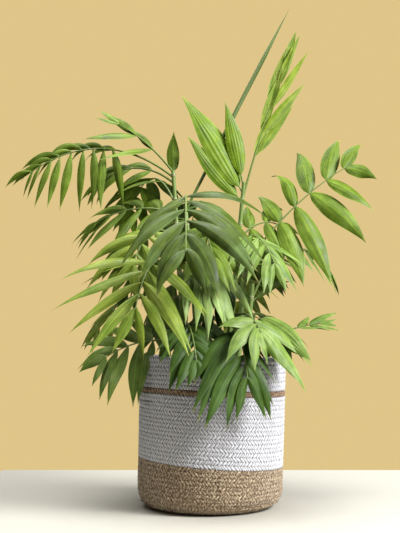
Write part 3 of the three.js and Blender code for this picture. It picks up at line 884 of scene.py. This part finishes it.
def stalk_material(name, light, shaded):
    """Smooth green stalk with faint lengthwise streaks and small paler flecks."""
    look = STALK_LOOK
    material, nodes, shader = new_material(name)
    place, _, _ = nodes.place()
    streak = nodes.long_noise(place, look["streaks"], look["streak_detail"])
    fleck = nodes.math("GREATER_THAN", nodes.noise(*look["fleck_noise"]), look["fleck_from"])
    colour = nodes.mix(streak, shaded, light)
    colour = nodes.mix(nodes.times(fleck, look["fleck_share"]), colour, look["fleck_colour"])
    nodes.put(shader.inputs["Base Color"], colour)
    nodes.put(shader.inputs["Normal"], nodes.bump(streak, look["bump"]))
    shader.inputs["Roughness"].default_value = look["roughness"]
    return material


def cane_material():
    """Green cane with streaks, and at each joint a pale scar ring with a dark line in it."""
    look = CANE_LOOK
    material, nodes, shader = new_material("cane")
    place, _, along = nodes.place()
    streak = nodes.long_noise(place, look["streaks"], look["streak_detail"])
    colour = nodes.mix(streak, look["shaded"], look["light"])
    joint = nodes.math("FRACT", nodes.math("DIVIDE", along, CANE_JOINT))
    from_joint = nodes.math("ABSOLUTE", nodes.minus(joint, 0.5))
    for ring in ("scar", "line"):
        near = nodes.math("LESS_THAN", from_joint, look[f"{ring}_width"])
        colour = nodes.mix(nodes.times(near, look[f"{ring}_share"]), colour, look[f"{ring}_colour"])
    nodes.put(shader.inputs["Base Color"], colour)
    nodes.put(shader.inputs["Normal"], nodes.bump(streak, look["bump"]))
    shader.inputs["Roughness"].default_value = look["roughness"]
    return material


def rope_phase(nodes, strand, row, across):
    """The count of strands up to this place, as in the rope's relief."""
    whole_row = nodes.math("FLOOR", row)
    lean_way = nodes.math("MULTIPLY_ADD", nodes.math("MODULO", whole_row, 2.0), -2.0, 1.0)
    phase = nodes.plus(strand, nodes.times(nodes.times(across, lean_way), STRAND_SLANT))
    turn = nodes.times(phase, 2 * math.pi * STRAND_WAVES / STRANDS)
    wander = nodes.math("SINE", nodes.plus(turn, nodes.times(whole_row, ROW_PHASE)))
    return nodes.plus(phase, nodes.times(wander, STRAND_WANDER))


def rope_painted_shade(nodes, across, phase):
    """The painted shade on the rope: dark where its strands part and a little where its rows meet."""
    look = ROPE_LOOK
    from_strand = nodes.times(nodes.math("PINGPONG", phase, 0.5), 2.0)
    parting = nodes.math("POWER", from_strand, look["parting_power"])
    groove = nodes.math("POWER", nodes.math("ABSOLUTE", across), look["groove_power"])
    dark = nodes.times(parting, nodes.plus(groove, look["parting_share"]))
    return nodes.plus(dark, nodes.times(groove, look["groove_share"]), clamp=True)


def rope_material(name):
    """Matte rope: slanting strands on each row with painted shade where they part, with yarns and stray
    fibres.
    """
    look = ROPE_LOOK
    light, shaded, deep = ROPE_COLOURS[name]
    material, nodes, shader = new_material(name)
    _, strand, row = nodes.place()
    across = nodes.times(nodes.minus(nodes.math("FRACT", row), 0.5), 2.0)
    phase = rope_phase(nodes, strand, row, across)
    yarn = nodes.math("SINE", nodes.times(phase, 2 * math.pi * look["yarns"]))
    yarn = nodes.math("MULTIPLY_ADD", yarn, 0.5, 0.5)
    fibre = nodes.noise(*look["fibre_noise"])
    patch = nodes.stretched(nodes.noise(*look["patch_noise"]), look["patch_range"])
    colour = nodes.mix(patch, shaded, light)
    # Painted shade between the yarns, and fibres that darken the colour a little at random
    colour = nodes.mix(nodes.times(yarn, look["yarn_share"]), colour, shaded)
    colour = nodes.mix(nodes.times(fibre, look["fibre_share"]), colour, shaded)
    # Painted shade where the strands part and the rows meet
    colour = nodes.mix(rope_painted_shade(nodes, across, phase), colour, deep)
    height = nodes.plus(yarn, nodes.times(fibre, look["fibre_height"]))
    nodes.put(shader.inputs["Base Color"], colour)
    nodes.put(shader.inputs["Normal"], nodes.bump(height, look["bump"]))
    shader.inputs["Roughness"].default_value = look["roughness"]
    shader.inputs["Sheen Weight"].default_value = look["sheen"]
    return material


def mix_material():
    """Crumbly potting mix."""
    look = MIX_LOOK
    material, nodes, shader = new_material("mix")
    crumb = nodes.noise(*look["crumb_noise"])
    nodes.put(shader.inputs["Base Color"], nodes.mix(crumb, look["dark"], look["light"]))
    nodes.put(shader.inputs["Normal"], nodes.bump(crumb, look["bump"]))
    shader.inputs["Roughness"].default_value = look["roughness"]
    return material


# Canes and fronds


def on_cane(cane, height):
    share = (height - MIX_TOP) / (cane["top"] - MIX_TOP)
    foot = np.array([*cane["foot"], MIX_TOP], float)
    crown = np.array([*cane["crown"], cane["top"]], float)
    return foot + (crown - foot) * share


def cane_radius(cane, height):
    share = (height - MIX_TOP) / (cane["top"] - MIX_TOP)
    return cane["low"] + (cane["high"] - cane["low"]) * share


def frond_stalk(frond, steps=STALK_STEPS):
    cane = CANES[frond["cane"]]
    out = heading(frond["azimuth"], 0)
    foot = on_cane(cane, frond["height"]) + out * cane_radius(cane, frond["height"]) / 2
    return grow(foot, heading(frond["azimuth"], frond["rise"]), frond["pull"], frond["length"], steps)


def leaflet(frond, stalk, seed, pair, hand):
    """One leaflet of a pair. hand is 1 for the one on its stalk's right and -1 for the other."""
    along = pair / (frond["pairs"] - 1)
    own = variations(seed)
    share = frond["bare"] + (1 - frond["bare"]) * (along * LAST_PAIR_PLACE + own["place"])
    share = min(share, STALK_END)
    ahead = way_at(stalk, share)
    side, up = side_and_up(ahead, frond["roll"])
    opened = frond["open"] + (frond["close"] - frond["open"]) * along + own["open"]
    opened += frond["skew"] * hand * (1 - SKEW_TURN * along)
    opened = math.radians(opened)
    lift = math.radians(frond["lift"] + own["lift"])
    beside = side * math.cos(lift) * hand + up * math.sin(lift)
    way = ahead * math.cos(opened) + beside * math.sin(opened)
    size = (1 - SHORTENING * (along - LONGEST_PAIR) ** 2) * (1 + frond["uneven"] * hand * (1 - along))
    return {
        "root": point_at(stalk, share),
        "way": way,
        "side": unit(np.cross(way, up)),
        "sag": frond["sag"] * (1 + own["sag"]),
        "length": frond["leaf"] * size * (1 + own["length"]),
        "width": frond["width"] * math.sqrt(size) * (1 + own["width"]),
        "pitch": LEAF_PITCH * hand,
        **NARROW_LEAF,
    }


def end_leaf(frond, stalk):
    """The single broad leaf of a young frond."""
    way = way_at(stalk, 1)
    side, _ = side_and_up(way, frond["roll"])
    return {
        "root": point_at(stalk, 1) - way * LEAF_ROOT_WIDTH,
        "way": way,
        "side": side,
        "sag": frond["sag"],
        "length": frond["leaf"],
        "width": frond["width"],
        "pitch": 0,
        **BROAD_LEAF,
    }


def frond_leaves(shape, frond, number):
    stalk = frond_stalk(frond)
    if frond["pairs"] == 0:
        blade(shape, end_leaf(frond, stalk), number)
    for pair in range(frond["pairs"]):
        for hand in (1, -1):
            seed = number * SEEDS_A_FROND + pair * 2 + (1 if hand > 0 else 0)
            blade(shape, leaflet(frond, stalk, seed, pair, hand), seed)


# Pieces


def make_camera():
    data = bpy.data.cameras.new("camera")
    data.lens = LENS
    camera = bpy.data.objects.new("camera", data)
    camera.location = EYE
    camera.rotation_euler = (math.radians(90 + PITCH), 0, 0)
    bpy.context.scene.collection.objects.link(camera)
    bpy.context.scene.camera = camera


def make_basket():
    inner = BASKET["foot_radius"] - BASKET["wall"]
    edge, low, high = BAND_EDGES["jute"], BAND_EDGES["stripe_low"], BAND_EDGES["stripe_high"]
    base = base_profile(inner)
    wall = band_profile(inner, edge + BAND_GAP, low - BAND_GAP)
    stripe = band_profile(inner, low + BAND_GAP, high - BAND_GAP)
    rim = rim_profile(inner, high + BAND_GAP)
    cotton = rope_material("white_rope")
    jute = rope_material("jute_rope")
    dark_jute = rope_material("stripe_rope")
    rope_band("basket_base_rows", base, jute, "jute_rope", "basket_jute_base")
    rope_band("basket_wall_rows", wall, cotton, "white_rope", "basket_white_wall")
    rope_band("basket_stripe_rows", stripe, dark_jute, "jute_rope", "basket_jute_stripe")
    rope_band("basket_rim_rows", rim, cotton, "white_rope", "basket_white_rim")


def mix_height(x, y):
    """The mix's uneven top."""
    swell = np.sin(x * MIX_SWELL["x"]) * np.cos(y * MIX_SWELL["y"] + MIX_SWELL["phase"])
    lump = np.sin(x * MIX_LUMP["x"] + y * MIX_LUMP["y"])
    return MIX_TOP - MIX_SINK + MIX_SWELL["height"] * swell + MIX_LUMP["height"] * lump


def make_mix():
    """A plug with an uneven top. Its last two rings run down its side and under it."""
    outer = BASKET["foot_radius"] - BASKET["wall"] - MIX_GAP
    turn = np.linspace(0, 2 * math.pi, MIX_AROUND, endpoint=False)
    radii = np.linspace(AXIS_HOLE, outer, MIX_RINGS)[:, None]
    x = radii * np.cos(turn)
    y = radii * np.sin(turn)
    low = np.full(MIX_AROUND, BASKET["floor"] + MIX_GAP)
    z = np.concatenate([mix_height(x, y), [low, low]])
    x = np.concatenate([x, [x[-1], x[0]]])
    y = np.concatenate([y, [y[-1], y[0]]])
    faces, row, column = grid(len(z), MIX_AROUND, wrap=True)
    shape = Shape()
    shape.add(np.stack([x + lean_at(z), y, z], -1), faces, np.stack([column, row], -1) * MIX_PLACE_STEP)
    close_rings(shape, len(z), MIX_AROUND)
    fit(shape.build("mix", mix_material()), "potting_mix", "potting_mix")


def make_canes():
    shape = Shape()
    for cane in CANES.values():
        heights = np.arange(MIX_TOP - CANE_SINK, cane["top"] + 1, CANE_STEP)
        from_joint = (heights - heights[0]) / CANE_JOINT % 1 - 0.5
        swell = JOINT_SWELL * np.exp(-((from_joint / JOINT_WIDTH) ** 2))
        points = np.array([on_cane(cane, height) for height in heights])
        tube(shape, points, cane_radius(cane, heights) + swell, CANE_SIDES, heading(0, 0))
    fit(shape.build("canes", cane_material()), "cane", *[f"cane_{name}" for name in CANES])


def spear_ridges(turn, along):
    return 1 + SPEAR_RIDGES["height"] * np.cos(SPEAR_RIDGES["count"] * turn + SPEAR_RIDGES["winding"] * along)


def make_spear():
    share = np.linspace(0, 1, SPEAR_STEPS + 1)
    body = np.minimum(1, SPEAR_FOOT_SHARE + share)
    radii = SPEAR_RADIUS * np.minimum(body, (1 - share) / SPEAR_TIP_LENGTH)
    radii = np.maximum(radii, SPEAR_TIP_RADIUS)
    across = heading(SPEAR["azimuth"] - 90, 0)
    shape = Shape()
    tube(shape, frond_stalk(SPEAR, SPEAR_STEPS), radii, SPEAR_SIDES, across, ridges=spear_ridges)
    fit(shape.build("spear", stalk_material("spear", *SPEAR_COLOURS)), "spear", "spear_middle")


def make_stalks():
    shape = Shape()
    radii = np.linspace(STALK_RADIUS["foot"], STALK_RADIUS["tip"], STALK_STEPS + 1)
    for frond in FRONDS:
        across = heading(frond["azimuth"] - 90, 0)
        tube(shape, frond_stalk(frond), radii, STALK_SIDES, across, STALK_SQUEEZE)
    piece = shape.build("stalks", stalk_material("stalk", *STALK_COLOURS))
    fit(piece, "leaf_fresh", *[f"frond_{frond['name']}" for frond in FRONDS])


def make_leaves():
    """One piece for each tone, with the leaflets of all the fronds that have it."""
    for tone, colours in LEAF_TONES.items():
        shape = Shape()
        replaced = []
        for number, frond in enumerate(FRONDS):
            if frond["colour"] == tone:
                frond_leaves(shape, frond, number)
                replaced.append(f"frond_{frond['name']}")
        piece = shape.build(f"leaves_{tone}", leaf_material(f"leaf_{tone}", *colours))
        fit(piece, f"leaf_{tone}", *replaced)


def make_stage():
    reach = FLOOR_REACH
    corners = [(-reach, -reach), (reach, -reach), (reach, reach), (-reach, reach)]
    points = [(x, y, z) for z in (0, -FLOOR_THICK) for x, y in corners]
    sides = [(k, k + 4, (k + 1) % 4 + 4, (k + 1) % 4) for k in range(4)]
    mesh = bpy.data.meshes.new("floor")
    mesh.from_pydata(points, [], [(0, 1, 2, 3), (7, 6, 5, 4)] + sides)
    floor = bpy.data.objects.new("floor", mesh)
    bpy.context.scene.collection.objects.link(floor)
    material, nodes, shader = new_material("floor")
    nodes.put(shader.inputs["Base Color"], FLOOR_COLOUR)
    shader.inputs["Roughness"].default_value = FLOOR_ROUGHNESS
    mesh.materials.append(material)


def make_lamp(name, place, size, power, colour):
    light = bpy.data.lights.new(name, "AREA")
    light.shape = "DISK"
    light.size = size
    light.energy = power
    light.color = colour
    lamp = bpy.data.objects.new(name, light)
    lamp.location = place
    aim = np.array(LAMP_AIM) - np.array(place)
    yaw = math.atan2(aim[1], aim[0])
    drop = math.atan2(-aim[2], math.hypot(aim[0], aim[1]))
    lamp.rotation_euler = (math.radians(90) - drop, 0, yaw - math.radians(90))
    bpy.context.scene.collection.objects.link(lamp)


def make_light():
    """The lamps, and a world that lights the plant dimly and shows the backdrop's colour."""
    for name, lamp in LAMPS.items():
        make_lamp(name, *lamp)
    world = bpy.data.worlds.new("studio")
    world.use_nodes = True
    nodes = Nodes(world.node_tree)
    background = world.node_tree.nodes["Background"]
    seen = nodes.new("LightPath").outputs["Is Camera Ray"]
    nodes.put(background.inputs["Color"], nodes.mix(seen, ROOM_LIGHT, BACKDROP_COLOUR))
    background.inputs["Strength"].default_value = 1.0
    bpy.context.scene.world = world
    bpy.context.scene.view_settings.view_transform = "Standard"


make_camera()
make_basket()
make_mix()
make_canes()
make_spear()
make_stalks()
make_leaves()
make_stage()
make_light()
